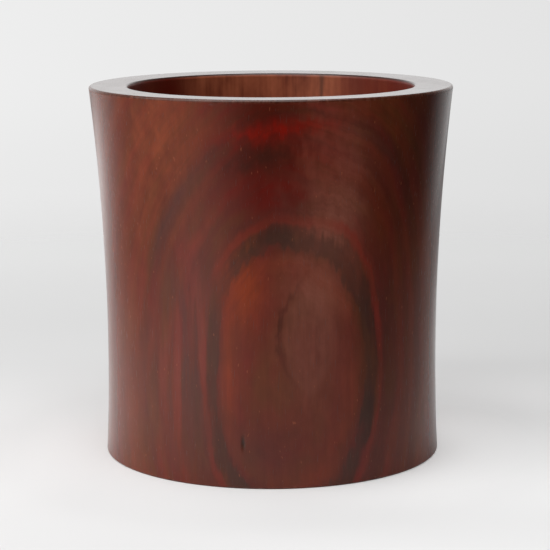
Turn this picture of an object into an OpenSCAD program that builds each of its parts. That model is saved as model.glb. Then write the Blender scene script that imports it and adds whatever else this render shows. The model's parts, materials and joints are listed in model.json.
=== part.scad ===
// Waisted brush pot: a scholar's desk pot turned from one block of dense rosewood.
// The block keeps a thick wall, a flat rim and its own floor. The floor is bored
// through at the centre, where the heart of the log was, and a shouldered plug,
// fitted from below, closes that hole.
// Millimetres. The origin is the centre of the foot on the table, with +Z up the axis.

/* [Body] */
// Height from the table to the flat rim
height = 160; // [130:1:200]
// Outer diameter of the rim
rim_d = 157.4; // [152:0.2:170]
// Outer diameter of the waist, the narrowest place
waist_d = 144; // [140:0.2:146]
// Height of the waist above the table
waist_h = 45.5; // [35:0.5:60]
// Outer diameter of the foot
foot_d = 146.4; // [146.2:0.2:150]
// Radius that eases the outer edge of the rim
rim_outer_ease = 1.1; // [0.6:0.1:2]
// Radius that eases the inner edge of the rim
rim_inner_ease = 1.5; // [0.4:0.1:2]

/* [Well] */
// Diameter of the straight bore that holds the brushes
well_d = 123.2; // [110:0.2:126]
// Thickness of the floor, from the table to the inside
floor_t = 15; // [12:0.5:20]
// Radius of the cove where the wall meets the floor
well_cove = 4; // [2:0.5:8]

/* [Underside] */
// Width of the ring that the pot stands on
foot_ring_w = 13; // [8:0.5:16]
// Depth of the hollow inside that ring
recess_depth = 1.6; // [1:0.1:3]
// Radius that eases the edges of the ring
foot_ease = 0.7; // [0.4:0.1:1]

/* [Plug] */
// Diameter of the plug's wide part, seen from below
plug_d = 50; // [46:0.5:60]
// Diameter of the plug's neck, seen from inside
neck_d = 40; // [30:0.5:42]
// Thickness of the plug's wide part
plug_t = 6.4; // [4:0.1:7]
// Radius that eases the plug's visible edges
plug_ease = 0.5; // [0.2:0.1:1]

/* [Hidden] */

rim_r = rim_d / 2;
waist_r = waist_d / 2;
foot_r = foot_d / 2;
well_r = well_d / 2;
plug_r = plug_d / 2;
neck_r = neck_d / 2;

// Each flank is one hollow arc that stands upright at the waist. Its radius is kept
// to a tenth, so that the two arcs meet exactly there.
function arc_radius(flare, rise) = round(5 * (flare * flare + rise * rise) / flare) / 10;
upper_flank_r = arc_radius(rim_r - waist_r, height - waist_h);
lower_flank_r = arc_radius(foot_r - waist_r, waist_h);

// The easing arc of an outer edge touches the flat face and the flank. Its centre is
// this far from the axis, and its touching point on the flank is at this angle.
function ease_x(flank_r, ease, rise) =
    waist_r + flank_r - sqrt(pow(flank_r + ease, 2) - pow(rise, 2));
function ease_angle(flank_r, ease, rise) = asin(rise / (flank_r + ease));

overshoot = 1; // how far cutting shapes run past the faces they cut
flank_fn = 720;
$fn = 144;

// What has to be cut from a sharp corner to leave an arc of radius r about centre c,
// running from angle a1 to angle a2.
module corner_waste(c, r, a1, a2) {
    reach = 3 * r;
    mid = (a1 + a2) / 2;
    translate(c) difference() {
        polygon([[0, 0], for (a = [a1, mid, a2]) reach * [cos(a), sin(a)]]);
        circle(r = r);
    }
}

// One flank's share of the outline, between two heights.
module flank(z_low, z_high, flank_r) {
    difference() {
        translate([0, z_low]) square([max(rim_r, foot_r) + overshoot, z_high - z_low]);
        translate([waist_r + flank_r, waist_h]) circle(r = flank_r, $fn = flank_fn);
    }
}

module body_outline() {
    rim_rise = height - rim_outer_ease - waist_h;
    foot_rise = waist_h - foot_ease;
    difference() {
        union() {
            flank(waist_h, height, upper_flank_r);
            flank(0, waist_h, lower_flank_r);
        }
        corner_waste([ease_x(upper_flank_r, rim_outer_ease, rim_rise), height - rim_outer_ease],
                     rim_outer_ease, -ease_angle(upper_flank_r, rim_outer_ease, rim_rise), 90);
        corner_waste([ease_x(lower_flank_r, foot_ease, foot_rise), foot_ease],
                     foot_ease, -90, ease_angle(lower_flank_r, foot_ease, foot_rise));
    }
}

// The well, with a cove round its floor.
module well_outline() {
    translate([0, floor_t + well_cove]) square([well_r, height - floor_t - well_cove + overshoot]);
    translate([0, floor_t]) square([well_r - well_cove, well_cove + overshoot]);
    translate([well_r - well_cove, floor_t + well_cove]) circle(r = well_cove);
}

// The shallow hollow under the floor, and the stepped hole for the plug.
module underside_outline() {
    recess_r = foot_r - foot_ring_w;
    translate([0, -overshoot]) square([recess_r, recess_depth + overshoot]);
    translate([0, recess_depth - overshoot]) square([plug_r, plug_t + overshoot]);
    square([neck_r, floor_t + overshoot]);
    corner_waste([recess_r + foot_ease, foot_ease], foot_ease, -180, -90);
}

module body() {
    color("#5f2b20") rotate_extrude() difference() {
        body_outline();
        well_outline();
        underside_outline();
        corner_waste([well_r + rim_inner_ease, height - rim_inner_ease], rim_inner_ease, 90, 180);
    }
}

// The plug's shoulder stops it against the floor, so that it can't be pushed up
// into the well. Its faces are flush with the floor and with the hollow below it.
module base_plug() {
    color("#4d2219") rotate_extrude() difference() {
        union() {
            translate([0, recess_depth]) square([plug_r, plug_t]);
            translate([0, recess_depth]) square([neck_r, floor_t - recess_depth]);
        }
        corner_waste([neck_r - plug_ease, floor_t - plug_ease], plug_ease, 0, 90);
        corner_waste([plug_r - plug_ease, recess_depth + plug_ease], plug_ease, -90, 0);
    }
}

body();
base_plug();
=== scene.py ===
"""The looks of a waisted brush pot, turned from one block of dense rosewood.

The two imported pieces, the body and the plug in its floor, are replaced by finely turned meshes
with the same outlines. One solid wood, cut by every surface, gives the ring figure outside, the
stripes in the well and the growth rings on the rim. Blender units are metres, and the wood and
the outlines are written in millimetres.
"""

import json
import math

import bmesh
import bpy
from mathutils import Matrix, Vector, noise


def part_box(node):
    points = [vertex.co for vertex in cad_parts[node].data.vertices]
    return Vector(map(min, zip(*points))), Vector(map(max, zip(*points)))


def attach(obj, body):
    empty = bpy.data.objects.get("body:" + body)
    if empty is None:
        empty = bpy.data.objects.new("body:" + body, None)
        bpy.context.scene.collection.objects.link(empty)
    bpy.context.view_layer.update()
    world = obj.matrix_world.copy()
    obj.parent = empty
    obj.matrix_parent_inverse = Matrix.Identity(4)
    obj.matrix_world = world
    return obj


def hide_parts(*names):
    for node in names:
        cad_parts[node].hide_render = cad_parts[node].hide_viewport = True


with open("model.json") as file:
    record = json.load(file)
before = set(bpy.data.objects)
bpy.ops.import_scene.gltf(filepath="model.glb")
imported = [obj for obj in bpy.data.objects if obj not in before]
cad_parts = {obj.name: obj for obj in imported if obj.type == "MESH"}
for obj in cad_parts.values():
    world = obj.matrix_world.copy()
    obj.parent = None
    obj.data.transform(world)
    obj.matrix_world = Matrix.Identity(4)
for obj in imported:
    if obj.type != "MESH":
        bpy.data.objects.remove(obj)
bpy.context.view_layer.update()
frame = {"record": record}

MM = 0.001

# ---------------------------------------------------------------- driving sizes, millimetres

low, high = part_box("body")
HEIGHT = (high.z - low.z) / MM
RIM_R = (high.x - low.x) / 2 / MM
mounts = {mount["name"]: mount for mount in frame["record"]["mounts"]}
WELL_R = mounts["brush_well"]["dims"]["r_mm"]
FOOT_R = 73.2
WAIST_R = 72.0
WAIST_Z = 45.5
FLOOR_Z = 15.0
WELL_COVE = 4.0
RIM_OUTER_EASE = 1.1
RIM_INNER_EASE = 1.5
RIM_FALL = 0.25
FOOT_EASE = 0.7
RECESS_R = 60.2
RECESS_Z = 1.6
PLUG_R = 25.0
PLUG_SHOULDER_Z = 8.0
NECK_R = 20.0
PLUG_EASE = 0.5
PLUG_GAP = 0.03

# Small flaws in the outer surface: degrees round from the front, height, half-width, half-height
# and depth. The first is a pit along the grain, then come nicks just under the rim, and the last
# is a nick at the foot.
PIT_ANGLE = -9.4
PIT_Z = 19.0
FLAWS = [
    (PIT_ANGLE, PIT_Z, 0.70, 2.40, 0.60),
    (-17.6, 157.6, 0.70, 0.35, 0.16),
    (-37.9, 157.4, 0.60, 0.30, 0.12),
    (71.0, 157.8, 0.50, 0.35, 0.12),
    (128.0, 157.5, 0.80, 0.40, 0.18),
    (-104.0, 157.7, 0.60, 0.30, 0.14),
    (-163.0, 1.4, 0.90, 0.50, 0.20),
]

# Flaws are cut off at this many half-widths, where they have faded out.
FLAW_REACH = 3.0

# The hand-finished hollows outside: the most they go in, how close together they come round the
# pot, and their height.
HOLLOW_DEPTH = 0.06
HOLLOW_RATE = 2.6
HOLLOW_HEIGHT = 70.0

# Extra points stand this close to a corner, which keeps the shading beside it flat.
CORNER_GAP = 0.08

# Edges that turn by more than this many degrees stay crisp. The meshes have this many even steps
# round the axis.
SHARP_ANGLE = 40.0
BODY_STEPS = 320
PLUG_STEPS = 160


# ---------------------------------------------------------------- camera

# The place, the lens and the sensor's width are in millimetres, and the angles in radians.
CAMERA_PLACE = Vector((1.477, -876.24, 231.998))
CAMERA_PITCH = math.radians(10.0797)
CAMERA_ROLL = -0.0038
CAMERA_LENS = 132.774
CAMERA_SENSOR = 36


def make_camera():
    """The camera stands a little over five pot heights in front, above the rim, looking down."""
    data = bpy.data.cameras.new("camera")
    data.sensor_width = CAMERA_SENSOR
    data.lens = CAMERA_LENS
    camera = bpy.data.objects.new("camera", data)
    camera.location = CAMERA_PLACE * MM
    upright = Matrix.Rotation(math.pi / 2 - CAMERA_PITCH, 3, "X")
    camera.rotation_euler = (upright @ Matrix.Rotation(CAMERA_ROLL, 3, "Z")).to_euler()
    bpy.context.collection.objects.link(camera)
    bpy.context.scene.camera = camera


# ---------------------------------------------------------------- turned meshes

def arc(centre, radius, start, end, steps):
    """Points on an arc, in degrees from start to end."""
    points = []
    for i in range(steps + 1):
        angle = math.radians(start + (end - start) * i / steps)
        points.append((centre[0] + radius * math.cos(angle), centre[1] + radius * math.sin(angle)))
    return points


def line(start, end, spacing):
    """Points inside a straight stretch, with one close to each end to keep the shading flat."""
    length = math.dist(start, end)
    steps = max(1, round(length / spacing))
    end_share = CORNER_GAP / length
    shares = [end_share] + [i / steps for i in range(1, steps)] + [1 - end_share]
    return [tuple(a + (b - a) * share for a, b in zip(start, end)) for share in shares]


def flank_r(z):
    """The outer radius at height z: two hollow arcs that stand upright where they meet."""
    rim = z > WAIST_Z
    flare = (RIM_R if rim else FOOT_R) - WAIST_R
    rise = (HEIGHT if rim else 0) - WAIST_Z
    radius = (flare ** 2 + rise ** 2) / (2 * flare)
    return WAIST_R + radius - math.sqrt(radius ** 2 - (z - WAIST_Z) ** 2)


def flank(start_z, end_z, spacing):
    """Points up the flank, closer together at the ends and at the pit."""
    pit_reach = 5.0
    pit_spacing = pit_reach / 12
    rim_spacing = 0.35
    steps = round((end_z - start_z) / spacing)
    heights = [start_z + (end_z - start_z) * i / steps for i in range(1, steps)]
    heights += [PIT_Z - pit_reach + pit_spacing * i for i in range(25)]
    heights += [end_z - rim_spacing * i for i in range(1, 5)]
    heights += [start_z + CORNER_GAP, end_z - CORNER_GAP]
    return [(flank_r(z), z) for z in sorted(heights)]


def body_outline():
    """The body's closed outline, from the plug's hole outwards, up the flank and down the well."""
    foot_z = FOOT_EASE
    rim_z = HEIGHT - RIM_OUTER_EASE
    lip_z = HEIGHT - RIM_FALL
    inner_z = lip_z - RIM_INNER_EASE
    cove_z = FLOOR_Z + WELL_COVE
    recess_in = (PLUG_R, RECESS_Z)
    recess_out = (RECESS_R, RECESS_Z)
    foot_out_x = flank_r(foot_z) - FOOT_EASE
    rim_out_x = flank_r(rim_z) - RIM_OUTER_EASE
    outline = [recess_in, *line(recess_in, recess_out, 8), recess_out]
    outline += arc((RECESS_R + FOOT_EASE, FOOT_EASE), FOOT_EASE, 180, 270, 5)
    outline += line((RECESS_R + FOOT_EASE, 0), (foot_out_x, 0), 3)
    outline += arc((foot_out_x, foot_z), FOOT_EASE, 270, 360, 6)
    outline += flank(foot_z, rim_z, 2)
    outline += arc((rim_out_x, rim_z), RIM_OUTER_EASE, 0, 90, 8)
    outline += line((rim_out_x, HEIGHT), (WELL_R + RIM_INNER_EASE, lip_z), 1.6)
    outline += arc((WELL_R + RIM_INNER_EASE, inner_z), RIM_INNER_EASE, 90, 180, 7)
    outline += line((WELL_R, inner_z), (WELL_R, cove_z), 6)
    outline += arc((WELL_R - WELL_COVE, cove_z), WELL_COVE, 0, -90, 8)
    outline += line((WELL_R - WELL_COVE, FLOOR_Z), (NECK_R, FLOOR_Z), 6)
    outline += [(NECK_R, FLOOR_Z), (NECK_R, PLUG_SHOULDER_Z), (PLUG_R, PLUG_SHOULDER_Z)]
    return outline


def plug_outline():
    """The plug, a hair smaller than its hole, with eased edges that leave a fine groove."""
    neck = NECK_R - PLUG_GAP
    wide = PLUG_R - PLUG_GAP
    step_z = PLUG_SHOULDER_Z - PLUG_GAP
    outline = [(0, RECESS_Z), *line((0, RECESS_Z), (wide - PLUG_EASE, RECESS_Z), 3)]
    outline += arc((wide - PLUG_EASE, RECESS_Z + PLUG_EASE), PLUG_EASE, 270, 360, 5)
    outline += [(wide, step_z), (neck, step_z)]
    outline += arc((neck - PLUG_EASE, FLOOR_Z - PLUG_EASE), PLUG_EASE, 0, 90, 5)
    outline += [*line((neck - PLUG_EASE, FLOOR_Z), (0, FLOOR_Z), 3), (0, FLOOR_Z)]
    return outline


def turned(name, outline, angles, closed, shape=None):
    """A mesh made by turning an outline round the axis. shape() may change a point's radius."""
    mesh = bmesh.new()
    steps = len(angles)
    rings = []
    for radius, z in outline:
        if radius == 0:
            rings.append([mesh.verts.new((0, 0, z * MM))] * steps)
            continue
        ring = []
        for angle in angles:
            reach = shape(angle, radius, z) if shape else radius
            turn = math.radians(angle)
            point = Vector((reach * math.sin(turn), -reach * math.cos(turn), z))
            ring.append(mesh.verts.new(point * MM))
        rings.append(ring)
    pairs = list(zip(rings, rings[1:]))
    if closed:
        pairs.append((rings[-1], rings[0]))
    for lower, upper in pairs:
        for i in range(steps):
            j = (i + 1) % steps
            corners = [lower[i], lower[j], upper[j], upper[i]]
            mesh.faces.new(list(dict.fromkeys(corners)))
    bmesh.ops.recalc_face_normals(mesh, faces=mesh.faces)
    data = bpy.data.meshes.new(name)
    mesh.to_mesh(data)
    mesh.free()
    data.shade_smooth()
    data.set_sharp_from_angle(angle=math.radians(SHARP_ANGLE))
    piece = bpy.data.objects.new(name, data)
    bpy.context.collection.objects.link(piece)
    return piece


def even_angles(steps):
    """Degrees round from the front, from -180 up to nearly 180."""
    return [360 * i / steps - 180 for i in range(steps)]


def body_angles():
    """Even angles, with closer ones at each flaw, and none that nearly coincide."""
    least_gap = 0.02
    angles = even_angles(BODY_STEPS)
    for angle, _, half_width, _, _ in FLAWS:
        step = math.degrees(half_width / WAIST_R) / 3
        angles += [angle + step * i for i in range(-8, 9)]
    angles.sort()
    following = angles[1:] + [angles[0] + 360]
    return [angle for angle, after in zip(angles, following) if after - angle > least_gap]


def body_shape(angle, radius, z):
    """The hand-finished surface: hardly visible hollows outside, and the flaws in the flank.

    The well and the hollow of the underside stay truly round.
    """
    if radius < WELL_R + 3:
        return radius
    turn = math.radians(angle)
    place = Vector((math.sin(turn), math.cos(turn), z / HOLLOW_HEIGHT)) * HOLLOW_RATE
    inward = HOLLOW_DEPTH / 2 * (1 + noise.noise(place))
    if radius > flank_r(z) - 0.5:
        for flaw_angle, flaw_z, half_width, half_height, depth in FLAWS:
            across = math.radians(angle - flaw_angle) * radius / half_width
            along = (z - flaw_z) / half_height
            if abs(across) < FLAW_REACH and abs(along) < FLAW_REACH:
                inward += depth * math.exp(-across ** 2 - along ** 2)
    return radius - inward


# ---------------------------------------------------------------- node arithmetic

class Field:
    """A number or a colour that varies from place to place: a node's output, with arithmetic."""

    def __init__(self, tree, socket):
        self.tree = tree
        self.socket = socket

    def math(self, operation, *others):
        """The result of a Math node that takes this field first."""
        node = self.tree.nodes.new("ShaderNodeMath")
        node.operation = operation
        for slot, value in zip(node.inputs, (self, *others)):
            connect(self.tree, value, slot)
        return Field(self.tree, node.outputs[0])

    def __add__(self, other):
        return self.math("ADD", other)

    def __sub__(self, other):
        return self.math("SUBTRACT", other)

    def __rsub__(self, other):
        return self.math("MULTIPLY_ADD", -1, other)

    def __mul__(self, other):
        return self.math("MULTIPLY", other)

    def __truediv__(self, other):
        return self.math("DIVIDE", other)

    __radd__ = __add__
    __rmul__ = __mul__

    def squared(self):
        return self * self

    def clamped(self):
        return self.math("MAXIMUM", 0).math("MINIMUM", 1)

    def rise(self, start, end):
        """0 before start and 1 after end, with a smooth step between."""
        node = self.tree.nodes.new("ShaderNodeMapRange")
        node.interpolation_type = "SMOOTHSTEP"
        for slot, value in zip(node.inputs, (self, start, end, 0, 1)):
            connect(self.tree, value, slot)
        return Field(self.tree, node.outputs[0])

    def bell(self, centre, half_width):
        """1 at centre, falling smoothly to about a third at half_width from it."""
        return (-1 * ((self - centre) / half_width).squared()).math("EXPONENT")


def connect(tree, value, slot):
    """Gives a slot its value, which is a Field or plain numbers."""
    if isinstance(value, Field):
        tree.links.new(value.socket, slot)
    else:
        slot.default_value = value


def vector(x, y, z):
    """A place made of three fields."""
    node = x.tree.nodes.new("ShaderNodeCombineXYZ")
    for slot, value in zip(node.inputs, (x, y, z)):
        connect(x.tree, value, slot)
    return Field(x.tree, node.outputs[0])


def grain_noise(where, detail=2, roughness=0.5, seed=0.0):
    """Smooth noise from 0 to 1, with about one cell to each unit of the place where."""
    node = where.tree.nodes.new("ShaderNodeTexNoise")
    node.noise_dimensions = "4D"
    connect(where.tree, where, node.inputs["Vector"])
    node.inputs["W"].default_value = seed
    node.inputs["Scale"].default_value = 1
    node.inputs["Detail"].default_value = detail
    node.inputs["Roughness"].default_value = roughness
    return Field(where.tree, node.outputs[0])


def mixed(tree, share, first, second, blend="MIX"):
    """A colour between two colours, or a blend of them, each a Field or three linear numbers."""
    node = tree.nodes.new("ShaderNodeMix")
    node.data_type = "RGBA"
    node.blend_type = blend
    connect(tree, share, node.inputs["Factor"])
    for name, colour in (("A", first), ("B", second)):
        slot = [s for s in node.inputs if s.name == name and s.type == "RGBA"][0]
        connect(tree, colour if isinstance(colour, Field) else (*colour, 1), slot)
    output = [s for s in node.outputs if s.type == "RGBA"][0]
    return Field(tree, output)


def shade_of(field):
    """A grey of the field's own strength."""
    node = field.tree.nodes.new("ShaderNodeCombineColor")
    for slot in node.inputs:
        field.tree.links.new(field.socket, slot)
    return Field(field.tree, node.outputs[0])


def places(tree):
    """The three coordinates of a place in the model, in millimetres from the foot's centre."""
    coordinates = tree.nodes.new("ShaderNodeTexCoord")
    split = tree.nodes.new("ShaderNodeSeparateXYZ")
    tree.links.new(coordinates.outputs["Object"], split.inputs[0])
    return [Field(tree, output) / MM for output in split.outputs]


def distance_out(x, y):
    """How far out a place lies, given how far it lies along x and y."""
    return (x.squared() + y.squared()).math("SQRT")


def linear(red, green, blue):
    """A display colour, 0 to 255, as linear numbers."""
    shares = [c / 255 for c in (red, green, blue)]
    return tuple(s / 12.92 if s < 0.04045 else ((s + 0.055) / 1.055) ** 2.4 for s in shares)


# ---------------------------------------------------------------- the wood

# The heart of the log runs up through the pot, nearer the front than the turning axis does. It
# leans and bends slightly: its place is given where z is 60 mm, with its lean and its bend over
# each 60 mm of height. Distances from it, less INNER_RING, number the growth rings.
HEART = {"x": (1.28, 0.48, 0.48), "y": (-13.15, 0.06, 0.31)}
HEART_Z = 60.0
HEART_SPAN = 60.0
INNER_RING = 58.4

# The growth rings' colours, outwards from INNER_RING, as (distance in millimetres, colour). The
# pattern runs out and back again over the whole log.
RINGS = [
    (0.0, (110, 44, 26)),
    (1.2, (114, 46, 27)),
    (1.7, (124, 50, 28)),
    (1.95, (104, 44, 29)),
    (2.1, (76, 43, 33)),
    (2.65, (72, 38, 28)),
    (2.8, (120, 40, 28)),
    (2.95, (120, 40, 26)),
    (3.15, (88, 38, 27)),
    (4.0, (94, 38, 26)),
    (4.5, (116, 44, 26)),
    (5.2, (92, 36, 24)),
    (5.9, (110, 44, 26)),
    (6.3, (84, 40, 30)),
    (6.8, (92, 41, 28)),
    (7.3, (116, 50, 27)),
    (8.7, (124, 57, 31)),
    (9.4, (108, 47, 27)),
    (10.3, (122, 54, 29)),
    (11.4, (98, 41, 25)),
    (12.4, (118, 50, 29)),
    (14.0, (92, 38, 24)),
]
RING_SPAN = RINGS[-1][0]

PLAIN = linear(112, 47, 29)
OLIVE = linear(100, 56, 26)
CRIMSON = linear(122, 36, 30)
DEEP_RED = linear(104, 14, 3)
EMBER = linear(140, 20, 4)
SCARLET = linear(136, 42, 32)
BLACKISH = linear(68, 44, 34)
AMBER = linear(138, 66, 38)
FLAME = linear(146, 56, 22)
ASH = linear(138, 80, 64)
SMOKE = linear(126, 52, 40)
UMBER = linear(84, 48, 40)
DUSK = linear(82, 39, 33)
NIGHT = linear(70, 28, 16)
RUST = linear(110, 44, 18)
PALE_WOOD = linear(178, 98, 66)
WINE = linear(108, 25, 5)
WORN = linear(136, 78, 56)
DARK = linear(24, 10, 8)


def ring_number(x, y, z, angle):
    """Millimetres out from the innermost ring that is numbered, with the wood's wanderings."""
    height = (z - HEART_Z) / HEART_SPAN
    heart = [place + height * lean + height.squared() * bend for place, lean, bend in HEART.values()]
    ring = distance_out(x - heart[0], y - heart[1]) - INNER_RING
    wander = grain_noise(vector(x / 22, y / 22, z / 36), seed=1.5) - 0.5
    feather = grain_noise(vector(x / 2.6, y / 2.6, z / 13), detail=3, roughness=0.65, seed=4.0) - 0.5
    crest = angle.bell(0, 15) * z.rise(112, 140)
    pinch = angle.bell(-27, 12) * z.bell(38, 34)
    return ring + wander * 0.9 + feather * 0.45 - crest * 0.7 + pinch * 0.9


def ring_colour(ring):
    """The colour of each growth ring."""
    there_and_back = ring.math("PINGPONG", RING_SPAN)
    ramp = ring.tree.nodes.new("ShaderNodeValToRGB")
    ramp.color_ramp.interpolation = "EASE"
    stops = ramp.color_ramp.elements
    while len(stops) < len(RINGS):
        stops.new(1)
    for stop, (place, colour) in zip(stops, RINGS):
        stop.position = place / RING_SPAN
        stop.color = (*linear(*colour), 1)
    ring.tree.links.new((there_and_back / RING_SPAN).socket, ramp.inputs[0])
    return Field(ring.tree, ramp.outputs[0])


class Wood:
    """The wood of one piece: the places in it, the noises of its grain, and its colour so far.

    The angle is in degrees round from the front, and the other places are in millimetres.
    """

    def __init__(self, tree, shift_x, shift_y):
        self.tree = tree
        x, y, z = places(tree)
        self.radius = distance_out(x, y)
        self.angle = x.math("ARCTAN2", -1 * y) * math.degrees(1)
        self.outside = self.radius.rise(66, 69)
        x, y = x + shift_x, y + shift_y
        self.x, self.y, self.z = x, y, z
        ring = ring_number(x, y, z, self.angle)
        self.ring = ring

        lines = vector(ring * 3.4, x / 40, z / 50)
        self.lines = grain_noise(lines, detail=3, roughness=0.7, seed=3.0) - 0.5
        self.hue = grain_noise(vector(ring * 1.3, x / 14, z / 34), seed=21.0)
        self.patch = grain_noise(vector(x / 13, y / 13, z / 24), seed=9.0) - 0.5
        self.curl = grain_noise(vector(x / 4, y / 4, z / 7), seed=18.0) - 0.5
        self.stripe = grain_noise(vector(x / 5, y / 5, z / 60), seed=25.0) - 0.5
        self.streak = grain_noise(vector(x / 1.9, y / 1.9, z / 38), detail=3, seed=12.0) - 0.5
        self.fibre = grain_noise(vector(x / 0.45, y / 0.45, z / 14), seed=7.0) - 0.5
        flecks = grain_noise(vector(x / 0.8, y / 0.8, z / 2.4), detail=0, seed=31.0)
        self.fleck = flecks.rise(0.79, 0.83)
        pores = grain_noise(vector(x / 0.34, y / 0.34, z / 5), detail=0, seed=15.0)
        self.pore = pores.rise(0.72, 0.80)
        self.colour = PLAIN

    def cover(self, share, tint):
        """Mixes a tint into the colour, by a share that is kept between 0 and 1."""
        self.colour = mixed(self.tree, share.clamped(), self.colour, tint)

    def stain(self, share, tint):
        """Mixes a tint into the colour of the outside only."""
        self.cover(self.outside * share, tint)


def lay_rings(wood):
    """The growth rings, which come and go and are faint on the left of the front's oval."""
    faint = wood.angle.bell(-34, 17) * wood.z.bell(45, 60)
    wood.cover(0.8 + 1.6 * wood.patch - 0.5 * faint, ring_colour(wood.ring))
    wood.stain(wood.hue.rise(0.5, 0.68) * 0.5, OLIVE)
    wood.stain((1 - wood.hue.rise(0.32, 0.5)) * 0.45, CRIMSON)


def stain_left(wood):
    """Smoke brown veils the rings left of the oval, with rust brown beyond it and amber above."""
    angle, z, curl, streak = wood.angle, wood.z, wood.curl, wood.streak
    left = angle.bell(-29, 14) * z.bell(52, 48)
    veil = wood.stripe + 0.4 * streak
    wood.stain(left * veil.rise(-0.02, 0.10) * 0.68, UMBER)
    wood.stain(left * (1 - veil.rise(-0.10, 0.0)) * 0.6, SMOKE)
    beyond = (1 - angle.rise(-60, -36)) * angle.rise(-150, -90)
    wood.stain(beyond * (0.5 + 1.5 * streak), RUST)
    above = angle.bell(-36, 15) * z.rise(92, 130)
    wood.stain(above * (0.5 + 1.4 * wood.patch + curl), AMBER)
    arch = wood.ring.bell(6.8, 0.5) * angle.bell(-34, 14) * z.rise(84, 104)
    wood.stain(arch * (0.75 + curl), UMBER)


def stain_flames(wood):
    """Flames on the oval's upper left and thinly down its side, with dusk at its foot."""
    x, y, z, angle = wood.x, wood.y, wood.z, wood.angle
    flicker = grain_noise(vector((x - z * 0.7) / 1.6, y / 9, (x + z) / 22), seed=5.0)
    wood.stain(angle.bell(-9, 7) * z.bell(83, 14) * (1.8 * flicker), FLAME)
    wood.stain(angle.bell(-14.5, 2.2) * z.bell(54, 30) * (0.55 + wood.streak), FLAME)
    wood.stain(angle.bell(-4, 15) * z.bell(14, 15) * 0.6, DUSK)


def stain_almond(wood):
    """Ash brown on the oval's right, with a paler almond, and smoke brown along its right edge."""
    angle, z, curl, streak = wood.angle, wood.z, wood.curl, wood.streak
    ash = (angle - 6 * z.rise(85, 115)).bell(14, 11) * z.rise(8, 66) * (1 - 0.7 * z.rise(132, 158))
    wood.stain(ash * (0.6 + 0.7 * wood.patch + 0.5 * curl + wood.lines), ASH)
    across = ((angle - 12.4) / 10).math("ABSOLUTE")
    along = ((z - 63) / 27).squared()
    almond = across + along + 0.5 * curl + 0.4 * streak
    wood.stain((1 - almond.rise(0.72, 1.04)) * 0.25 * (1 - z.rise(66, 92)), ASH)
    almond_edge = almond.bell(1.02, 0.09) * (1 - angle.rise(7, 12)) * z.bell(66, 20)
    wood.stain(almond_edge * 0.6, NIGHT)
    wood.stain(wood.ring.bell(1.5, 0.4) * angle.rise(12, 22) * z.bell(52, 36) * 0.3, SMOKE)


def outline_oval(wood):
    """The oval's dark outline, strongest on top and on the right, with a red line outside it."""
    angle, z, curl = wood.angle, wood.z, wood.curl
    strength = angle.bell(9, 32) * (0.85 + 1.2 * curl + 1.3 * wood.patch)
    strength = strength * (1 - 0.35 * angle.bell(8, 8) * z.rise(90, 100))
    rough_ring = wood.ring + 0.5 * curl + 0.5 * wood.streak
    band = rough_ring.rise(2.0, 2.15) * (1 - rough_ring.rise(2.35, 2.7))
    wood.stain(band * strength * 0.8, BLACKISH)
    red_line = wood.ring.bell(2.96, 0.14) * angle.rise(5, 22) * (1 - z.rise(104, 116))
    wood.stain(red_line * strength * 0.7, SCARLET)


def stain_above_oval(wood):
    """Smoke brown and rust high up on the right, and umber over the oval's top."""
    angle, z, curl = wood.angle, wood.z, wood.curl
    wood.stain(angle.bell(17, 10) * z.rise(112, 140) * (0.4 + 1.5 * wood.lines + curl), SMOKE)
    wood.stain(angle.bell(37, 6) * z.bell(108, 15) * (0.5 + wood.streak), RUST)
    wood.stain(angle.bell(1, 12) * z.bell(118, 7) * (0.5 + wood.patch + curl), UMBER)


def stain_under_rim(wood):
    """Deep red under the front of the rim, with an ember glow above a black patch."""
    angle, z, curl, patch = wood.angle, wood.z, wood.curl, wood.patch
    tilted = z - 0.2 * angle + 10 * curl
    red = (angle + 20 * curl + 20 * patch).bell(-3, 15) * z.rise(104, 124)
    wood.stain(red * (0.75 + 1.8 * wood.lines), DEEP_RED)
    wood.stain(angle.bell(1, 15) * tilted.bell(147.5, 2.6) * (0.85 + 2 * wood.streak), EMBER)
    black = (angle + 20 * curl).bell(-3, 10) * tilted.bell(137.5, 6)
    wood.stain(black * (0.95 + patch), NIGHT)
    wood.stain(angle.bell(-3, 12) * tilted.rise(150, 154) * 0.5, NIGHT)


def figure_and_shade_right(wood):
    """Near black towards the right, high up, which is dark figure deepened by painted shade, above
    amber.
    """
    angle, z = wood.angle, wood.z
    wood.stain(angle.bell(57, 12) * (1 - z.rise(95, 125)) * 0.35, AMBER)
    # Painted shade over dark figure: near black on the upper right.
    wood.stain(angle.rise(38, 58) * (1 - angle.rise(110, 150)) * z.rise(85, 135) * 0.5, NIGHT)


def shade_grain(wood):
    """The dark pit, the pale flecks, and the light and dark of the lines, fibres and pores."""
    angle, z = wood.angle, wood.z
    wood.stain(angle.bell(PIT_ANGLE, 0.6) * z.bell(PIT_Z, 2.6), BLACKISH)
    wood.stain(wood.fleck * 0.4, PALE_WOOD)
    crown = angle.bell(0, 40) * z.rise(100, 125)
    tone = 1.03 + 0.45 * angle.bell(22, 13) * z.rise(62, 92)
    tone = tone + (0.4 + 0.5 * crown) * wood.lines + 0.3 * wood.patch
    tone = tone + 0.3 * wood.curl + 0.35 * wood.streak + 0.22 * wood.fibre - 0.35 * wood.pore
    wood.colour = mixed(wood.tree, 1.0, wood.colour, shade_of(tone), blend="MULTIPLY")


def colour_well(wood, well):
    """The well is mottled wine red, and pale at the back, less so towards the right, with a dark
    streak.
    """
    # Paler at the back of the well, and less so towards the right.
    pale_back = well * wood.y.rise(42, 56) * (1 - 0.5 * wood.x.rise(24, 36))
    mottle = wood.patch + wood.curl + wood.streak
    wood.cover((well - pale_back) * (0.7 - mottle), WINE)
    wood.cover(pale_back * (0.6 + 1.6 * wood.stripe + mottle), PALE_WOOD)
    wood.cover(pale_back * (wood.x + 2 * wood.curl).bell(23.3, 1.0) * 0.6, BLACKISH)


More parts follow.
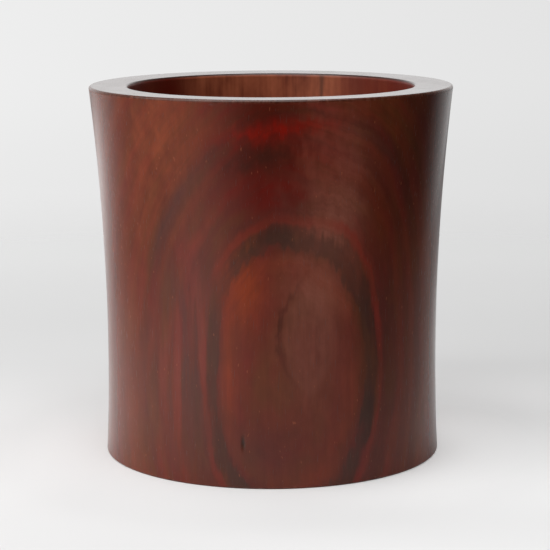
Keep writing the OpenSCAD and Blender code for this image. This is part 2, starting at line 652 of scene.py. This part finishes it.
def worn_edges(wood):
    """1 where handling has worn the outer edges of the rim and the foot, and 0 elsewhere."""
    rim_edge = wood.z.rise(158.3, 159.0) * wood.radius.rise(77.2, 77.9)
    foot_edge = (1 - wood.z.rise(0.3, 1.3)) * wood.radius.rise(71, 72)
    return ((rim_edge + foot_edge) * (0.5 + 1.5 * wood.streak + wood.curl)).clamped()


def wood_material(name, shift_x=0, shift_y=0):
    """The solid rosewood of one piece: its figure, its cut faces, its wear and its finish.

    A shift takes the piece from another part of the log, so that its grain doesn't run on.
    """
    material = bpy.data.materials.new(name)
    material.use_nodes = True
    tree = material.node_tree
    shader = tree.nodes["Principled BSDF"]
    wood = Wood(tree, shift_x, shift_y)
    lay_rings(wood)
    stain_left(wood)
    stain_flames(wood)
    stain_almond(wood)
    outline_oval(wood)
    stain_above_oval(wood)
    stain_under_rim(wood)
    figure_and_shade_right(wood)
    shade_grain(wood)
    well = 1 - wood.radius.rise(61.8, 62.3)
    top = wood.z.rise(158.6, 159.4)
    worn = worn_edges(wood)
    colour_well(wood, well)
    wood.cover(top * 0.8, DARK)
    wood.cover(worn * 0.4, WORN)
    tree.links.new(wood.colour.socket, shader.inputs["Base Color"])

    # The well and the underside are less polished, and flat cut faces show the turning tool's marks.
    fibre, pore = wood.fibre, wood.pore
    flat = (1 - wood.z.rise(15.2, 16)) * (1 - wood.radius.rise(59, 60))
    marks = (wood.radius * 5).math("SINE") * flat
    under = 1 - wood.z.rise(0.05, 0.3)
    rough = 0.22 + 0.08 * fibre + 0.08 * wood.patch + 0.15 * pore
    rough = rough + 0.28 * well + 0.25 * under - 0.03 * top + 0.15 * worn + 0.04 * marks
    tree.links.new(rough.socket, shader.inputs["Roughness"])
    shader.inputs["IOR"].default_value = 1.42
    bump = tree.nodes.new("ShaderNodeBump")
    bump.inputs["Strength"].default_value = 0.12
    bump.inputs["Distance"].default_value = 0.05 * MM
    relief = (fibre - 0.8 * pore) * (1 - 0.8 * top) + marks
    tree.links.new(relief.socket, bump.inputs["Height"])
    tree.links.new(bump.outputs[0], shader.inputs["Normal"])
    return material


# ---------------------------------------------------------------- pieces

def make_body():
    """The pot itself, in place of the body that was packed."""
    piece = turned("pot_body", body_outline(), body_angles(), closed=True, shape=body_shape)
    piece.data.materials.append(wood_material("body_wood"))
    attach(piece, "root")
    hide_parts("body")


def make_plug():
    """The plug in the pot's floor, from another part of the log."""
    piece = turned("floor_plug", plug_outline(), even_angles(PLUG_STEPS), closed=False)
    piece.data.materials.append(wood_material("plug_wood", shift_x=31, shift_y=-24))
    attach(piece, "root")
    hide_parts("base_plug")


# ---------------------------------------------------------------- floor and light

# Metres: the soft boxes stand this far from the point that they face, halfway up the pot.
LIGHT_AIM = Vector((0, 0, 0.08))
LIGHT_DISTANCE = 1.5
WHITE = (1, 1, 1, 1)


def matt_material(name):
    """A matt material, with a colour that is still to be linked."""
    material = bpy.data.materials.new(name)
    material.use_nodes = True
    shader = material.node_tree.nodes["Principled BSDF"]
    shader.inputs["Roughness"].default_value = 0.9
    shader.inputs["Specular IOR Level"].default_value = 0
    shader.inputs["Emission Color"].default_value = WHITE
    return material


def floor_material():
    """The pale floor that is seen, with light and shade painted round the pot, which melts into the
    backdrop far away.
    """
    material = matt_material("floor_seen")
    tree = material.node_tree
    shader = tree.nodes["Principled BSDF"]
    x, y, _ = places(tree)
    distance = distance_out(x, y)
    # Painted light and shade: lighter in front, near the pot, in its shadow on the right, on the
    # left, far back and at the front right; darker just behind the pot.
    front = (-1 * y).rise(-40, 110)
    near = 1 - distance.rise(75, 130)
    right = x.rise(0, 80) * (1 - x.rise(120, 220)) * y.rise(-150, -45) * (1 - y.rise(60, 170))
    left = (-1 * x).rise(70, 105) * y.rise(-120, -60) * (1 - y.rise(40, 110))
    behind = y.rise(80, 170) * (1 - y.rise(250, 420))
    far = y.rise(380, 520)
    corner = (-1 * y).rise(100, 160) * x.rise(-60, 60)
    tone = 0.72 + 0.03 * front + 0.1 * near + 0.18 * right + 0.04 * left - 0.04 * behind
    tone = tone + 0.05 * far + 0.05 * corner
    tree.links.new(shade_of(tone).socket, shader.inputs["Base Color"])
    # Painted light: an emission glow keeps the pot's shadow, which falls to the right, as faint as
    # studio fill light would.
    painted_fill_glow = 0.21 * x.bell(70, 45) * y.bell(8, 52)
    tree.links.new(painted_fill_glow.socket, shader.inputs["Emission Strength"])
    clear = tree.nodes.new("ShaderNodeBsdfTransparent")
    blend = tree.nodes.new("ShaderNodeMixShader")
    tree.links.new(distance.rise(140, 880).socket, blend.inputs[0])
    tree.links.new(shader.outputs[0], blend.inputs[1])
    tree.links.new(clear.outputs[0], blend.inputs[2])
    tree.links.new(blend.outputs[0], tree.nodes["Material Output"].inputs["Surface"])
    return material


def table_material():
    """The table top, dim in front, on the right and far left, with three pools of light."""
    material = matt_material("table_top")
    tree = material.node_tree
    shader = tree.nodes["Principled BSDF"]
    x, y, _ = places(tree)
    pale = (y * 0.8 - x * 0.6).rise(-350, 150)
    right = x.rise(80, 320)
    left = (-1 * x).rise(180, 480) * (1 - y.rise(150, 480))
    tone = (0.3 + 0.5 * pale) * (1 - 0.5 * right) * (1 - 0.6 * left)
    tree.links.new(shade_of(tone).socket, shader.inputs["Base Color"])
    front_pool = x.bell(-270, 130) * y.bell(-240, 130)
    back_pool = x.bell(-520, 300) * y.bell(760, 300)
    foot_pool = (1 - distance_out(x, y).rise(80, 220)) * y.rise(-40, 20)
    glow = 0.55 * front_pool + 0.8 * back_pool + 0.16 * foot_pool
    tree.links.new(glow.socket, shader.inputs["Emission Strength"])
    return material


def sheet(name, x_range, y_range, z, material):
    """A flat sheet, in metres."""
    (left, right), (front, back) = x_range, y_range
    corners = [(left, front, z), (left, back, z), (right, back, z), (right, front, z)]
    data = bpy.data.meshes.new(name)
    data.from_pydata(corners, [], [(0, 1, 2, 3)])
    data.materials.append(material)
    piece = bpy.data.objects.new(name, data)
    bpy.context.collection.objects.link(piece)
    return piece


def make_floor():
    """The floor, which only the camera sees, and just below it the table top, which the camera
    doesn't see, but which lights the pot and shows in its gloss.
    """
    floor = sheet("floor", (-2, 2), (-2, 2), 0, floor_material())
    floor.visible_glossy = False
    floor.visible_diffuse = False
    floor.visible_shadow = False
    table = sheet("table_top", (-1.5, 0.40), (-0.43, 1.5), -0.0001, table_material())
    table.visible_camera = False


def make_light(name, size, azimuth, elevation, power):
    """A soft box. Azimuth 0 is at the camera's side and 90 on its right."""
    data = bpy.data.lights.new(name, "AREA")
    data.shape = "RECTANGLE"
    data.size, data.size_y = size
    data.energy = power
    light = bpy.data.objects.new(name, data)
    turn, tilt = math.radians(azimuth), math.radians(elevation)
    out = Vector((math.sin(turn) * math.cos(tilt), -math.cos(turn) * math.cos(tilt), math.sin(tilt)))
    light.location = LIGHT_AIM + out * LIGHT_DISTANCE
    light.rotation_euler = out.to_track_quat("Z", "Y").to_euler()
    bpy.context.collection.objects.link(light)


def make_world():
    """A pale studio to the back and left, darker to the front and right.

    The camera sees a plain backdrop instead, a little darker to the right and lower down.
    """
    world = bpy.data.worlds.new("studio")
    bpy.context.scene.world = world
    world.use_nodes = True
    tree = world.node_tree
    background = tree.nodes["Background"]
    coordinates = tree.nodes.new("ShaderNodeTexCoord")
    split = tree.nodes.new("ShaderNodeSeparateXYZ")
    tree.links.new(coordinates.outputs["Generated"], split.inputs[0])
    x, y, z = (Field(tree, output) for output in split.outputs)
    back = y.rise(0.45, 1.0)
    left = (-1 * x).rise(0.1, 0.6)
    above = z.rise(-0.06, 0.06)
    studio = 0.03 + 0.33 * left + back * (0.73 + 0.42 * above) * (1 - 0.8 * z.rise(0.2, 0.5))
    backdrop = 0.815 - 0.28 * x - 0.034 * (-1 * z).rise(0.075, 0.135)
    seen = Field(tree, tree.nodes.new("ShaderNodeLightPath").outputs["Is Camera Ray"])
    brightness = studio + seen * (backdrop - studio)
    tree.links.new(brightness.socket, background.inputs["Strength"])
    background.inputs["Color"].default_value = WHITE


def make_lights():
    make_light("key_box", (1.6, 1.2), azimuth=-65, elevation=38, power=11)
    make_light("top_box", (1.6, 1.6), azimuth=-20, elevation=80, power=24)


make_camera()
make_body()
make_plug()
make_floor()
make_world()
make_lights()
bpy.context.scene.view_settings.view_transform = "Standard"
